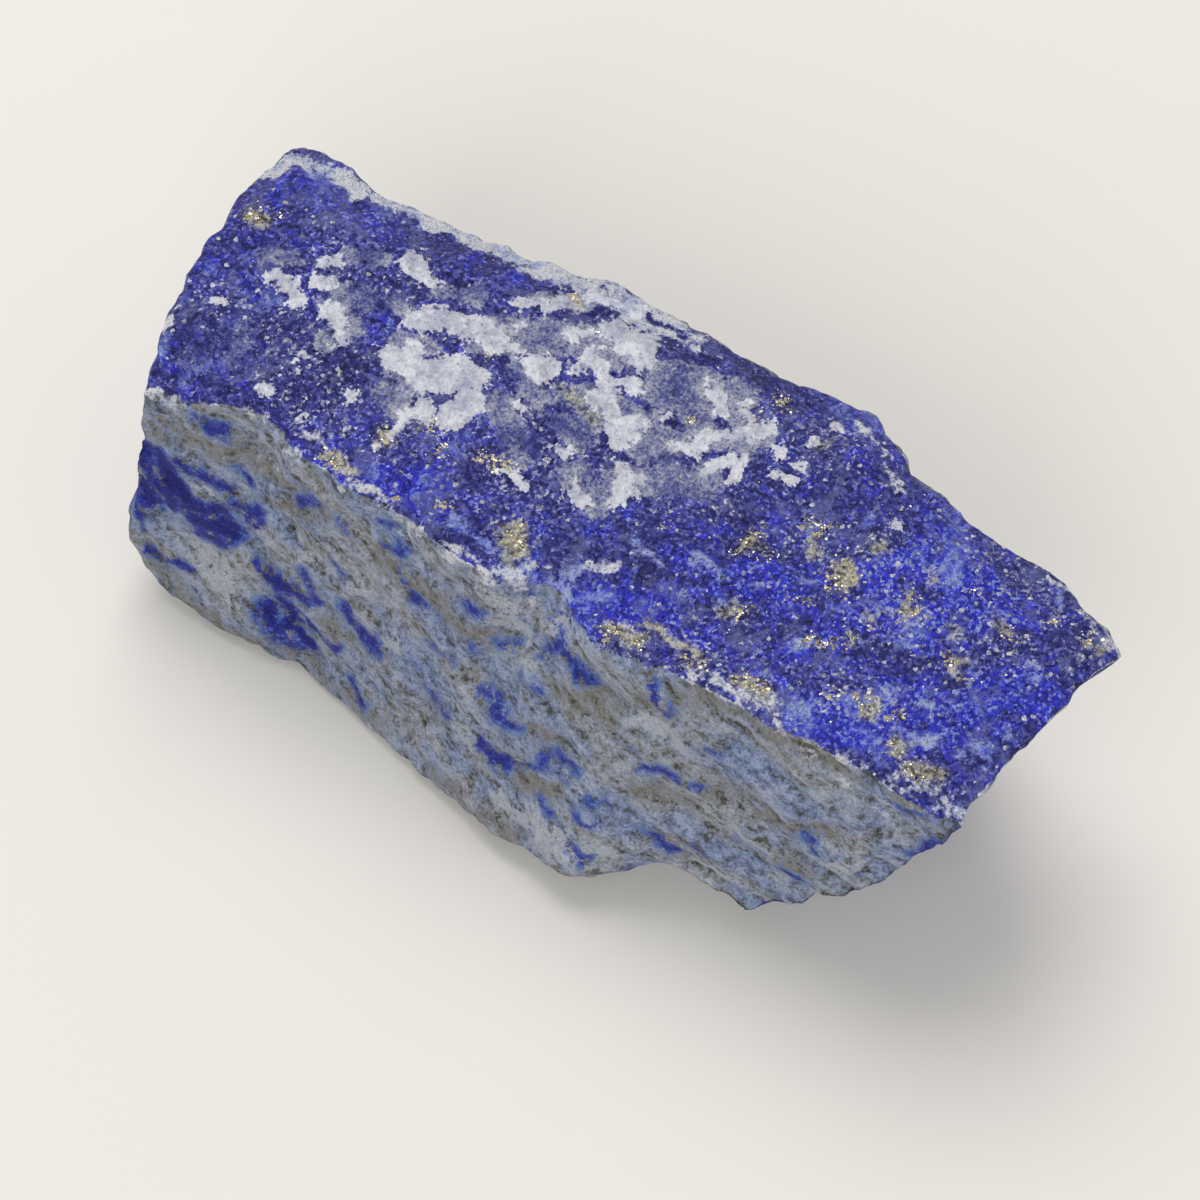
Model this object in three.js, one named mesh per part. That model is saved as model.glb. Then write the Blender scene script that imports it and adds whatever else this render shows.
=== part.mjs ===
// Rough lapis lazuli: one broken bar of blue rock, as it came off the hammer.
// It has a nearly level, granular top, a steep front with thin foliated ledges, a rough upright back,
// a left end broken almost square, a right end that undercuts, and a flat patch underneath to rest on.
// Millimetres, +Z up. X runs along the bar, -Y is the foliated front, and the origin is on the resting
// plane under the middle of the stone.
import * as THREE from "three";
import { ImprovedNoise } from "three/addons/math/ImprovedNoise.js";
import { mergeVertices } from "three/addons/utils/BufferGeometryUtils.js";

// Overall size of the finished stone
const LENGTH = 41.2;
const DEPTH = 19.5;
const HEIGHT = 13.7;

// Each line runs along the bar from its left end to its right end, one point at each of eleven stations.
// They are listed in order round the section: over the top, down the back, across the foot, up the front.
const SECTION_LINES = {
  ridge: [
    [-17.2, -6.2, 12.6], [-15.0, -5.4, 12.7], [-12.9, -4.3, 12.8], [-10.2, -5.0, 12.7],
    [-5.0, -5.0, 12.8], [-1.2, -5.2, 12.7], [1.2, -4.2, 12.8], [4.0, -4.9, 12.5],
    [10.1, -4.1, 12.6], [15.5, -3.7, 12.3], [19.7, -3.1, 11.8],
  ],
  crownFront: [
    [-18.5, -3.5, 12.9], [-16.0, -2.1, 13.1], [-13.0, -1.0, 13.3], [-10.0, -0.8, 13.2],
    [-5.9, -0.6, 13.3], [-2.2, -0.4, 13.1], [1.1, 0.4, 13.0], [4.8, -0.2, 12.8],
    [9.6, 0.4, 12.9], [15.0, 0.5, 12.9], [19.5, -0.7, 12.4],
  ],
  crownBack: [
    [-19.7, 1.1, 12.9], [-18.4, 4.4, 13.2], [-14.3, 4.6, 13.5], [-9.9, 5.3, 13.5],
    [-5.6, 6.3, 13.5], [-0.6, 6.7, 13.4], [3.6, 7.0, 13.2], [7.2, 7.2, 13.3],
    [10.6, 6.0, 13.2], [15.9, 5.3, 13.2], [20.0, 2.6, 12.9],
  ],
  rim: [
    [-20.5, 5.4, 12.6], [-19.7, 7.1, 12.8], [-15.4, 7.2, 12.7], [-10.3, 8.1, 12.6],
    [-5.9, 8.7, 12.6], [-0.7, 9.2, 12.7], [3.6, 9.3, 12.5], [6.8, 9.9, 12.6],
    [9.6, 8.1, 12.7], [17.2, 7.7, 12.8], [20.4, 5.9, 13.0],
  ],
  back: [
    [-19.6, 4.7, 6.6], [-18.4, 7.2, 6.8], [-14.8, 8.2, 6.2], [-10.0, 8.9, 7.0],
    [-5.6, 9.6, 6.4], [-0.5, 9.3, 6.0], [4.0, 9.8, 6.8], [7.6, 9.2, 6.6],
    [11.0, 8.9, 6.3], [15.4, 7.4, 6.9], [18.2, 5.5, 7.4],
  ],
  heel: [
    [-16.6, 3.4, 3.0], [-15.0, 5.3, 1.2], [-12.6, 6.1, 0.8], [-9.2, 5.2, 0],
    [-5.0, 7.2, 0], [-0.6, 6.1, 0], [4.0, 7.4, 0], [7.4, 5.8, 0],
    [10.4, 5.4, 0.7], [12.8, 4.4, 1.9], [14.4, 3.2, 4.4],
  ],
  sole: [
    [-16.8, -5.2, 2.2], [-15.2, -5.8, 0.8], [-12.6, -4.6, 0.4], [-9.2, -6.3, 0],
    [-5.0, -5.0, 0], [-1.0, -6.9, 0], [3.4, -5.2, 0], [7.0, -5.6, 0],
    [10.2, -3.6, 0.6], [13.0, -3.6, 1.9], [14.8, -2.2, 4.6],
  ],
  skirt: [
    [-18.2, -7.3, 2.5], [-17.3, -7.6, 1.2], [-13.1, -7.9, 0.4], [-9.7, -7.2, 0.3],
    [-5.2, -7.9, 0.3], [-1.3, -8.7, 0.6], [5.1, -9.4, 1.6], [9.9, -6.4, 2.4],
    [12.2, -6.3, 1.4], [16.0, -5.0, 5.0], [17.3, -4.1, 6.8],
  ],
  belly: [
    [-17.9, -6.9, 7.4], [-16.2, -6.6, 6.8], [-13.0, -6.3, 6.4], [-10.0, -6.2, 6.6],
    [-5.1, -6.6, 6.4], [-1.2, -7.1, 6.2], [2.8, -7.2, 6.4], [6.0, -6.6, 7.0],
    [11.0, -5.6, 6.6], [15.8, -4.7, 8.6], [18.3, -3.7, 9.3],
  ],
};
const LEFT_END_MIDDLE = [-18.9, -0.8, 7.2];
const RIGHT_END_MIDDLE = [17.5, 0.9, 8.8];

// Fineness: each panel edge of the coarse body is parted into this many steps
const STEPS_PER_EDGE = 7;
const SAME_POINT = 1e-4; // points nearer than this are one

// Relief, as heights and spacings in millimetres. The top and front are flatter than the other sides,
// so they take only a share of the swell and of the lumps.
const SWELL = { height: 0.5, spacing: 7.5, octaves: 2, flatShare: 0.45 };
const LUMPS = { height: 0.26, spacing: 2.6, octaves: 2, flatShare: 0.5 };
const GRAIN = { height: 0.16, spacing: 1.15, octaves: 1, flatShare: 1 };
const FOOT_FADE = 1.6; // relief dies out over this height above the resting plane

// Foliation of the front: ledges that rise slowly and break off sharply, dipping to the right
const LEDGES = {
  height: 0.42,
  spacing: 2.3,
  dip: THREE.MathUtils.degToRad(24),
  riseShare: 0.78, // share of the spacing taken by the slow rise
  wander: 1.1, // how far a ledge strays from its straight line
  wanderSpacing: 6,
};

// A face counts as front or top by how far its normal leans that way: not at all, and fully
const FRONT_LEAN = [0.45, 0.85];
const TOP_LEAN = [0.6, 0.9];

// Shallow breaks: bowls of a given radius, sunk by depth, at places on the stone's surface
const SCARS = [
  { at: [8.6, -6.6, 1.2], radius: 2.0, depth: 0.6 }, // bite under the front foot
  { at: [1.6, -4.0, 12.9], radius: 1.8, depth: 0.5 }, // notch in the front ridge
  { at: [18.0, -2.6, 12.6], radius: 1.6, depth: 0.3 }, // low facet at the right front corner
  { at: [-12.0, 8.6, 8.5], radius: 4.6, depth: 1.1 }, // shell-shaped spall on the back
  { at: [4.5, 9.9, 5.0], radius: 4.0, depth: 0.9 }, // second spall on the back
  { at: [-19.2, 1.0, 8.0], radius: 3.6, depth: 0.8 }, // spall on the left end
  { at: [17.0, 1.5, 7.5], radius: 3.4, depth: 0.6 }, // spall on the right end
  { at: [-6.2, 2.6, 0], radius: 3.4, depth: 0.6 }, // hollows that part the resting patch
  { at: [5.4, -2.4, 0], radius: 2.9, depth: 0.5 },
  { at: [3.0, 6.2, 0], radius: 2.6, depth: 0.5 },
  { at: [-4.6, -5.6, 0], radius: 1.8, depth: 0.4 },
];

const noise = new ImprovedNoise();
const NOISE_GAIN = 1.6; // brings the noise to a range of about -1 to 1
const OCTAVE_SHIFT = 17.3; // keeps the octaves from lining up at the origin
const OCTAVE_RATIO = 2.03; // each octave is this much finer than the last

// Layered noise from about -1 to 1, whose largest features are spacing wide
function roughness(p, spacing, octaves) {
  let sum = 0;
  let share = 1;
  let total = 0;
  let scale = 1 / spacing;
  for (let i = 1; i <= octaves; i++) {
    const shift = OCTAVE_SHIFT * i;
    sum += share * noise.noise(p.x * scale + shift, p.y * scale - shift, p.z * scale + shift);
    total += share;
    share /= 2;
    scale *= OCTAVE_RATIO;
  }
  return (NOISE_GAIN * sum) / total;
}

const { smoothstep } = THREE.MathUtils;

// The section lines joined into one closed coarse body, as triangles of corner points
function coarseTriangles() {
  const lines = Object.values(SECTION_LINES).map((line) => line.map((p) => new THREE.Vector3(...p)));
  const last = lines[0].length - 1;
  const left = new THREE.Vector3(...LEFT_END_MIDDLE);
  const right = new THREE.Vector3(...RIGHT_END_MIDDLE);
  const triangles = [];
  lines.forEach((line, k) => {
    const next = lines[(k + 1) % lines.length];
    for (let i = 0; i < last; i++) {
      // the shorter diagonal makes the better pair of triangles
      const straight = line[i].distanceTo(next[i + 1]) <= line[i + 1].distanceTo(next[i]);
      if (straight) {
        triangles.push([line[i], line[i + 1], next[i + 1]], [line[i], next[i + 1], next[i]]);
      } else {
        triangles.push([line[i], line[i + 1], next[i]], [line[i + 1], next[i + 1], next[i]]);
      }
    }
    triangles.push([left, line[0], next[0]]);
    triangles.push([right, next[last], line[last]]);
  });
  return triangles;
}

// A triangle parted evenly into steps squared smaller ones
function partedTriangle([a, b, c], steps, positions) {
  const point = (i, j) =>
    new THREE.Vector3()
      .addScaledVector(a, (steps - i - j) / steps)
      .addScaledVector(b, i / steps)
      .addScaledVector(c, j / steps);
  for (let i = 0; i < steps; i++) {
    for (let j = 0; j < steps - i; j++) {
      positions.push(point(i, j), point(i + 1, j), point(i, j + 1));
      if (i + j < steps - 1) positions.push(point(i + 1, j), point(i + 1, j + 1), point(i, j + 1));
    }
  }
}

function ledgeHeight(p) {
  const across = p.x * Math.sin(LEDGES.dip) + p.z * Math.cos(LEDGES.dip);
  const wander = LEDGES.wander * roughness(p, LEDGES.wanderSpacing, 2);
  const phase = (across + wander) / LEDGES.spacing;
  const fraction = phase - Math.floor(phase);
  const rise = fraction / LEDGES.riseShare;
  const drop = (1 - fraction) / (1 - LEDGES.riseShare);
  return LEDGES.height * (Math.min(rise, drop) - 0.5);
}

function scarDepth(p) {
  let depth = 0;
  for (const scar of SCARS) {
    const away = p.distanceTo(new THREE.Vector3(...scar.at)) / scar.radius;
    if (away < 1) depth += scar.depth * (1 - away * away);
  }
  return depth;
}

// How far the broken surface stands out at p, along its normal
function relief(p, normal) {
  const front = smoothstep(-normal.y, ...FRONT_LEAN);
  const top = smoothstep(normal.z, ...TOP_LEAN);
  const flat = Math.max(front, top);
  let height = front * ledgeHeight(p);
  for (const layer of [SWELL, LUMPS, GRAIN]) {
    const share = THREE.MathUtils.lerp(1, layer.flatShare, flat);
    height += share * layer.height * roughness(p, layer.spacing, layer.octaves);
  }
  return height * smoothstep(p.z, 0, FOOT_FADE);
}

function lapisGeometry() {
  const positions = [];
  for (const triangle of coarseTriangles()) partedTriangle(triangle, STEPS_PER_EDGE, positions);
  const geometry = mergeVertices(new THREE.BufferGeometry().setFromPoints(positions), SAME_POINT);
  geometry.computeVertexNormals();

  const place = geometry.getAttribute("position");
  const normals = geometry.getAttribute("normal");
  const p = new THREE.Vector3();
  const n = new THREE.Vector3();
  for (let i = 0; i < place.count; i++) {
    p.fromBufferAttribute(place, i);
    n.fromBufferAttribute(normals, i);
    p.addScaledVector(n, relief(p, n) - scarDepth(p));
    place.setXYZ(i, p.x, p.y, Math.max(p.z, 0));
  }

  // Bring the finished body to its overall size, standing on z = 0 with the origin under its middle
  geometry.deleteAttribute("normal");
  geometry.computeBoundingBox();
  const box = geometry.boundingBox;
  const size = box.getSize(new THREE.Vector3());
  const middle = box.getCenter(new THREE.Vector3());
  geometry.translate(-middle.x, -middle.y, -box.min.z);
  geometry.scale(LENGTH / size.x, DEPTH / size.y, HEIGHT / size.z);
  geometry.computeVertexNormals();
  return geometry;
}

function lapisStone() {
  const blueRock = new THREE.MeshStandardMaterial({ color: 0x2a35a0, roughness: 0.72, metalness: 0 });
  const stone = new THREE.Mesh(lapisGeometry(), blueRock);
  stone.name = "lapis_lazuli_stone";
  return stone;
}

const specimen = new THREE.Group();
specimen.add(lapisStone());

export default specimen;
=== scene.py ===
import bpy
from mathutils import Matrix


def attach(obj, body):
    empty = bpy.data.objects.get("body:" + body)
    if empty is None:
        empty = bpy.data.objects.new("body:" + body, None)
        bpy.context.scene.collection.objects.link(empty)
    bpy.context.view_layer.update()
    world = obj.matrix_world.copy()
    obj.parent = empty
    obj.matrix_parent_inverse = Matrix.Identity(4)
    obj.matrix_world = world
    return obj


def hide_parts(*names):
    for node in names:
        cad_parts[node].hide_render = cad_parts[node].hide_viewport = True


bl_info = {
    "name": "Rough Lapis Lazuli",
    "version": (1, 0, 0),
    "blender": (4, 5, 0),
    "location": "View3D > Sidebar > Lapis",
    "description": "Broken bar of lapis lazuli: granular blue top, calcite, pyrite, foliated sides",
    "category": "Object",
}

import functools
import math
import random

import bmesh
import bpy
import numpy as np
from mathutils import Matrix, Vector, noise
from mathutils.bvhtree import BVHTree

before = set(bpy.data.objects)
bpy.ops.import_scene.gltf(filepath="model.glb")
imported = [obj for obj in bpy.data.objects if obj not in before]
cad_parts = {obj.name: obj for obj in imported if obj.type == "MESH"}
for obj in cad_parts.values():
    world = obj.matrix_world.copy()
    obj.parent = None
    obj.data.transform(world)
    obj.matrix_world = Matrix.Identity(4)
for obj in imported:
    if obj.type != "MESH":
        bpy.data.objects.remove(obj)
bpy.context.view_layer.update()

NODE = "lapis_lazuli_stone"
BODY = "root"
STONE = "rough_lapis_lazuli"
MM = 0.001

# Spots on the top, in millimetres from the middle of the stone: x and y of one end, x and y of the
# other end, and half the width. A round spot has both ends at one place.
CALCITE = [
    (-16.5, 0.6, -15.6, 0.4, 0.38), (-15.5, 0.4, -14.8, -0.1, 0.26), (-15.3, 2.0, -14.8, 2.4, 0.23),
    (-14.8, 1.3, -14.5, 1.6, 0.34), (-13.5, 0.5, -13.1, 0.2, 0.42), (-12.4, -0.4, -12.4, -0.4, 0.38),
    (-13.3, -1.8, -13.3, -1.8, 0.23), (-13.6, -3.8, -13.6, -3.8, 0.30), (-17.8, -1.7, -17.4, -1.5, 0.15),
    (-10.6, -2.1, -10.6, -2.1, 0.23), (-11.6, -4.0, -11.6, -4.0, 0.26), (-12.3, 4.2, -12.0, 4.2, 0.49),
    (-11.1, 4.1, -11.1, 4.1, 0.30), (-10.5, 1.9, -9.0, 3.1, 0.53), (-9.9, 2.7, -8.6, 3.0, 0.64),
    (-7.5, 3.4, -7.5, 3.4, 0.34), (-6.8, 4.1, -6.8, 4.1, 0.26), (-5.2, 5.1, -4.6, 5.3, 0.26),
    (-6.6, 5.7, -6.0, 6.4, 0.42), (-3.7, 6.4, -2.3, 5.9, 0.68), (-2.5, 6.8, -1.9, 5.6, 0.49),
    (-5.3, 3.1, -4.8, 3.3, 0.53), (-4.6, 2.7, -4.6, 2.7, 0.34), (-3.7, 4.0, -3.7, 4.0, 0.38),
    (-2.4, 3.1, -2.4, 4.1, 0.45), (-1.8, 4.6, -1.8, 4.6, 0.42), (-0.9, 2.4, -0.6, 3.2, 0.49),
    (-0.8, 1.8, -0.6, 3.5, 0.26), (-8.6, 0.4, -7.3, 0.8, 0.91), (-6.4, 0.1, -6.7, -0.7, 0.75),
    (-8.0, -0.8, -7.3, -1.5, 0.34), (-6.7, 1.1, -6.7, 1.1, 0.45), (-4.6, 1.1, -4.6, 1.1, 0.26),
    (-2.1, 0.4, -2.1, 0.4, 0.30), (0.2, 4.2, 0.2, 4.2, 0.30), (1.2, 3.2, 1.5, 3.6, 0.30),
    (0.3, 1.3, 0.9, 0.8, 0.42), (0.9, 1.3, 0.7, 0.1, 0.32), (-0.8, -0.6, -0.4, -0.8, 0.34),
    (0.8, 6.6, 1.7, 5.7, 0.30), (1.7, 4.3, 2.6, 5.2, 0.26), (1.3, 3.3, 2.0, 3.7, 0.26),
    (2.8, 3.2, 3.3, 3.9, 0.34), (3.5, 5.3, 3.5, 5.3, 0.23), (4.8, 5.5, 4.8, 5.5, 0.26),
    (3.6, 6.3, 3.6, 6.3, 0.23), (5.9, 4.5, 5.2, 4.5, 0.20), (5.6, 6.7, 5.6, 6.7, 0.26),
    (5.6, 7.9, 5.6, 7.9, 0.30), (5.7, 5.4, 5.7, 5.4, 0.23), (10.4, 5.2, 10.4, 5.2, 0.30),
    (3.6, 4.4, 3.9, 3.4, 0.19), (-3.5, -1.5, -2.5, -1.6, 0.18), (-8.0, -1.0, -8.1, -3.3, 0.20),
    (-10.2, 0.1, -10.2, 0.1, 0.60), (-9.9, 0.8, -9.9, 0.8, 0.38), (-10.6, 0.1, -9.6, 0.5, 0.45),
    (-8.4, 3.4, -7.0, 2.9, 0.38), (-6.5, 6.2, -5.3, 7.2, 0.34), (-5.3, 7.2, -3.8, 8.0, 0.34),
    (-4.0, 4.8, -3.1, 4.3, 0.30), (2.3, 6.5, 3.2, 5.9, 0.23), (1.8, 4.4, 3.6, 6.0, 0.30),
    (-1.8, 3.1, -0.9, 2.6, 0.38), (-7.0, 2.9, -6.2, 3.2, 0.23), (-7.6, 5.1, -6.9, 5.7, 0.26),
]
MILKY = [
    (-10.4, 0.8, -9.3, 1.0, 0.57), (-7.9, 3.1, -4.0, 5.4, 0.83), (-7.0, 5.8, -4.2, 8.5, 0.60),
    (-3.4, 4.6, -2.2, 6.1, 0.57), (-1.0, 5.7, 1.9, 6.5, 0.83), (-2.6, 2.8, -0.3, 3.1, 0.75),
    (0.4, 2.4, 1.6, 4.5, 0.60), (1.8, 4.1, 3.7, 5.8, 0.45), (0.5, 0.9, 2.9, 2.7, 0.75),
    (-13.8, 0.7, -12.4, 0.2, 0.49), (-14.5, 3.1, -13.3, 3.6, 0.34), (-3.0, 1.4, -1.6, 1.5, 0.38),
    (-5.2, 0.5, -3.5, -0.5, 0.53), (2.3, 5.8, 3.6, 4.7, 0.45), (-0.8, 4.7, 1.3, 4.9, 0.60),
    (-10.7, 3.8, -9.1, 4.4, 0.34), (-1.3, 0.1, 0.2, -0.3, 0.60), (-11.8, 2.3, -11.0, 2.3, 0.38),
    (-5.7, 2.4, -4.2, 1.7, 0.45), (-17.3, 1.2, -16.1, 1.6, 0.38), (-9.5, -1.6, -8.6, -1.8, 0.45),
    (-13.8, 1.6, -12.9, 1.7, 0.60), (-12.8, -0.6, -12.8, -0.6, 0.53), (-9.6, -0.3, -8.9, -0.6, 0.68),
    (-5.4, 0.8, -5.4, 0.8, 0.45), (-2.1, 2.2, -2.1, 2.2, 0.60), (-3.4, 2.7, -3.4, 2.7, 0.45),
]
# Pale spots: a pale band along the back rim, and painted highlight along the front ridge
PALE_RIM = [
    (-20.5, 4.7, -19.8, 5.6, 0.60), (-19.8, 5.6, -18.2, 6.3, 0.53), (-17.9, 6.2, -16.6, 6.2, 0.53),
    (-15.6, 6.6, -13.5, 6.9, 0.75), (-13.5, 6.9, -11.4, 7, 0.68), (-11.4, 7, -8.3, 7.4, 0.64),
    (-8.3, 7.4, -5.5, 7.5, 0.68), (-5.4, 7.5, -2.8, 7.5, 0.49), (-18.4, -4.2, -18.9, -3.1, 0.23),
    (-17.1, -6.6, -16.3, -6.1, 0.30), (-13.7, -4.9, -12.8, -4.9, 0.23), (-12.8, -4.9, -10.6, -5.4, 0.15),
    (-10.1, -5.5, -8.1, -5.7, 0.23), (-7.9, -5.4, -7.2, -5.2, 0.30), (-6.9, -5.4, -5.7, -5.4, 0.15),
    (-5.6, -5.4, -4.6, -5.5, 0.19), (-4.1, -5.6, -2.7, -5.7, 0.15), (-2.5, -5.4, -1.9, -5.2, 0.15),
    (-2, -5.2, -1.1, -5.3, 0.26), (-1.1, -5.3, -0.3, -5.1, 0.23), (-0.4, -4.6, 0.4, -4.1, 0.15),
    (1.5, -2.8, 2.5, -2.7, 0.30), (4, -4.2, 4.8, -4, 0.15), (5.7, -4.9, 7.5, -4.5, 0.11),
    (7, -4.5, 7.8, -4.2, 0.19), (8.1, -4.4, 9.3, -4.2, 0.19), (9.4, -4.3, 10.4, -3.9, 0.26),
    (10.3, -3.5, 10.7, -3.7, 0.23), (10.7, -3.9, 11.5, -3.9, 0.19), (11.5, -4, 12.1, -4.2, 0.19),
    (13.3, -4.2, 14, -4, 0.15), (14, -4, 14.9, -3.8, 0.19), (14.9, -3.8, 15.4, -3.9, 0.15),
    (16, -3.9, 16.8, -3.7, 0.23), (16.8, -3.5, 17.5, -3.1, 0.26), (17.4, -3, 18.8, -3.1, 0.34),
    (6.4, 8.5, 8.1, 7.8, 0.26), (8.2, 7.6, 9.6, 6.8, 0.19), (16.3, 6.9, 17.8, 6.8, 0.19),
    (18.2, 6.4, 19.6, 5.7, 0.23), (-6, 8.3, -4.1, 8.3, 0.45), (-4.1, 8.3, -2.1, 8.4, 0.45),
    (-2.1, 8.4, -0.9, 8.4, 0.30), (-3.6, 7.6, -0.8, 7.8, 0.30), (-8.6, 8.1, -6, 8.3, 0.45),
    (-12.5, 7.7, -8.6, 8.1, 0.38), (-3.7, -5.4, -2.3, -5.4, 0.15), (-2.1, -5.3, -0.8, -5.1, 0.23),
    (-0.8, -5.1, 0.2, -4.8, 0.30), (7.6, -4.6, 8.8, -4.4, 0.19), (8.8, -4.3, 9.8, -3.9, 0.23),
    (9.9, -4.1, 10.6, -4, 0.23), (10.9, -4.1, 12, -4.4, 0.19), (12.3, -4.4, 13.3, -4.2, 0.19),
    (13.4, -4.2, 14.4, -4, 0.23), (14.5, -4, 15.4, -3.9, 0.19), (15.6, -4.1, 16, -4, 0.15),
    (15.9, -3.8, 16.4, -3.2, 0.23), (16.4, -3.2, 17.5, -3.1, 0.26), (17.5, -3.2, 18.5, -3.3, 0.26),
    (-11.3, -4.5, -9.7, -4.6, 0.15), (-8.8, -5.1, -7.5, -5.3, 0.19),
]
PYRITE = [
    (-19.4, 2.4, -18.9, 2.4, 0.26), (-18.4, 3.0, -18.4, 3.0, 0.19), (-8.2, -3.0, -8.2, -3.0, 0.30),
    (-7.1, -1.6, -7.1, -1.6, 0.23), (-6.1, -2.1, -6.1, -2.1, 0.19), (-1.7, -3.5, -1.1, -4.0, 0.34),
    (3.2, 7.8, 3.5, 7.5, 0.23), (2.9, 6.5, 2.9, 6.5, 0.23), (1.1, 4.7, 1.1, 4.7, 0.15),
    (7.5, 3.3, 8.1, 3.4, 0.34), (7.6, -1.3, 7.6, -1.3, 0.34), (5.1, -4.6, 5.1, -4.6, 0.30),
    (12.5, -2.3, 12.5, -2.3, 0.26), (12.4, 3.0, 12.4, 3.0, 0.23), (16.3, 3.8, 16.7, 3.6, 0.26),
    (15.2, 1.5, 15.2, 1.5, 0.26), (16.6, -2.9, 17.0, -2.8, 0.32), (9.6, 1.6, 9.9, 2.3, 0.40),
    (7.0, 1.3, 7.0, 1.3, 0.19), (5.9, 0.6, 6.1, 2.1, 0.20), (2.9, 0.2, 2.9, 0.2, 0.15),
    (14.4, 4.6, 14.4, 4.6, 0.15), (17.5, 5.4, 17.5, 5.4, 0.19), (13.9, -1.9, 13.4, -1.7, 0.24),
    (15.5, -2.7, 15.5, -2.7, 0.26), (16.2, 1.2, 16.2, 1.2, 0.19), (12.9, 2.6, 12.9, 2.6, 0.30),
    (19.0, 5.2, 19.0, 5.2, 0.23), (3.9, -4.5, 3.9, -5.2, 0.23), (6.7, -4.1, 7.8, -4.0, 0.20),
    (9.1, -3.7, 10.4, -3.5, 0.22), (-9.8, -4.7, -8.8, -5.1, 0.25), (-6.3, -4.9, -6.3, -4.9, 0.19),
    (-4.7, -1.6, -3.5, -1.3, 0.23), (-6.2, 6.8, -5.8, 6.5, 0.18), (-7.0, 2.2, -7.0, 2.2, 0.19),
    (12.0, 1.2, 12.0, 1.2, 0.19), (10.3, -0.9, 11.7, 0.0, 0.18), (8.8, 0.2, 9.5, 0.7, 0.15),
    (-4.5, -4.1, -4.5, -4.1, 0.19), (14.6, -1.9, 15.1, -1.3, 0.15),
]
EARTHY = [
    (-19.3, 2.3, -18.4, 2.5, 0.34), (-1.8, -3.3, -1.0, -4.2, 0.53), (8.3, 2.6, 8.3, 2.6, 0.49),
    (6.2, 1.5, 6.2, 1.5, 0.45), (10.5, 4.1, 10.5, 4.1, 0.42), (11.9, 1.5, 11.9, 1.5, 0.34),
    (12.6, 2.4, 12.6, 2.4, 0.53), (14.6, 2.7, 14.6, 2.7, 0.34), (9.9, 2.3, 9.9, 2.3, 0.60),
    (13.9, -1.8, 13.9, -1.8, 0.45), (9.1, -3.8, 10.5, -3.8, 0.30), (19.5, 5.3, 19.5, 5.3, 0.34),
    (15.8, 3.9, 15.8, 3.9, 0.42), (16.6, -2.8, 17.3, -2.6, 0.50), (7.2, -1.5, 7.2, -1.5, 0.38),
    (5.1, -4.4, 3.7, -4.7, 0.40), (12.8, 4.1, 12.8, 4.1, 0.30), (-8.2, -3.0, -8.2, -3.0, 0.38),
    (-4.2, 2.7, -1.9, 2.6, 0.30), (15.6, -2.7, 15.6, -2.7, 0.38), (-8.5, -4.9, -9.6, -4.8, 0.32),
    (5.0, -3.6, 7.3, -3.6, 0.32), (5.8, 6.6, 5.8, 6.6, 0.34), (16.2, 1.8, 15.5, 1.5, 0.26),
]
PALE_BLUE = [
    (13.1, 4.9, 13.1, 4.9, 0.26), (7.8, -1.6, 7.8, -1.6, 0.26), (9.3, 4.9, 9.3, 4.9, 0.30),
    (18.1, 3.0, 18.1, 3.0, 0.26), (19.6, 4.2, 19.6, 4.2, 0.26), (17.0, 7.0, 17.2, 6.1, 0.20),
    (14.1, -1.1, 14.1, -1.1, 0.30), (15.6, -0.5, 15.6, -0.5, 0.34), (18.5, -1.0, 18.0, -1.1, 0.28),
    (2.8, -3.8, 2.8, -3.8, 0.26), (5.0, -0.4, 6.0, -0.4, 0.21), (10.3, -0.9, 10.3, -0.9, 0.30),
    (7.4, 0.2, 7.4, 0.2, 0.26), (5.5, -1.8, 5.5, -1.8, 0.23), (15.6, -2.0, 16.5, -1.3, 0.32),
    (12.0, 0.2, 12.0, 0.2, 0.23), (16.5, 0.3, 16.5, 0.3, 0.26), (3.7, -1.2, 2.7, -1.1, 0.24),
    (14.9, -3.3, 14.9, -3.3, 0.26), (1.1, -2.9, 1.5, -4.5, 0.26), (-3.9, -4.4, 0.8, -4.6, 0.25),
    (11.4, -3.8, 11.6, -3.1, 0.26),
]
# Where the blue is coarse and glitters, with more painted sparkles
GRAINY = [
    (-17.3, -1.4, -13.8, -1.3, 1.43), (-12.6, -2.8, -7.6, -2.8, 1.43), (-4.7, -0.2, -0.5, 0.7, 1.36),
    (-4.1, 3, -3.1, 1.6, 0.94), (-3.5, -3.1, -1.1, -2.4, 1.13), (1.5, 0.6, 4.1, 2.3, 1.06),
    (2.6, 5.7, 6.7, 6.7, 1.06), (7.6, 2.6, 11.3, 4, 1.13), (11.3, 4, 15.1, 2.5, 1.13),
    (6.6, -3.3, 9.9, -3.3, 0.98), (12.1, 1.4, 15.2, 1.6, 0.98), (12, -2.4, 14, -1.4, 0.98),
    (15.4, 4.8, 18.2, 4.7, 0.98), (-15.8, 3.2, -12.2, 3.2, 0.98), (14, 6, 19, 5, 1.50),
    (13, 2.5, 17.5, 3, 1.00),
]
# Where the blue is purest
VIVID = [
    (2.2, -3.7, 6.4, -2.4, 1.21), (7.9, -0.5, 10.7, -0.6, 0.91), (12.6, -3.3, 15.3, -2, 1.06),
    (14.6, -0.9, 16.9, -0.3, 0.83), (-2.1, -5.7, -0.9, -5.3, 0.60), (-9.4, -5, -5.1, -4.3, 0.83),
    (4.2, 0.2, 7.2, 0.5, 0.83), (17.2, 1.3, 18.7, 2.3, 0.83), (10.5, 2.5, 11.3, 4, 0.60),
    (1.5, -4.7, 3, -5.4, 0.68), (12.5, 5.2, 17.5, 3.6, 1.10), (11.5, 1.6, 14.5, 2.4, 0.90),
]
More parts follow.
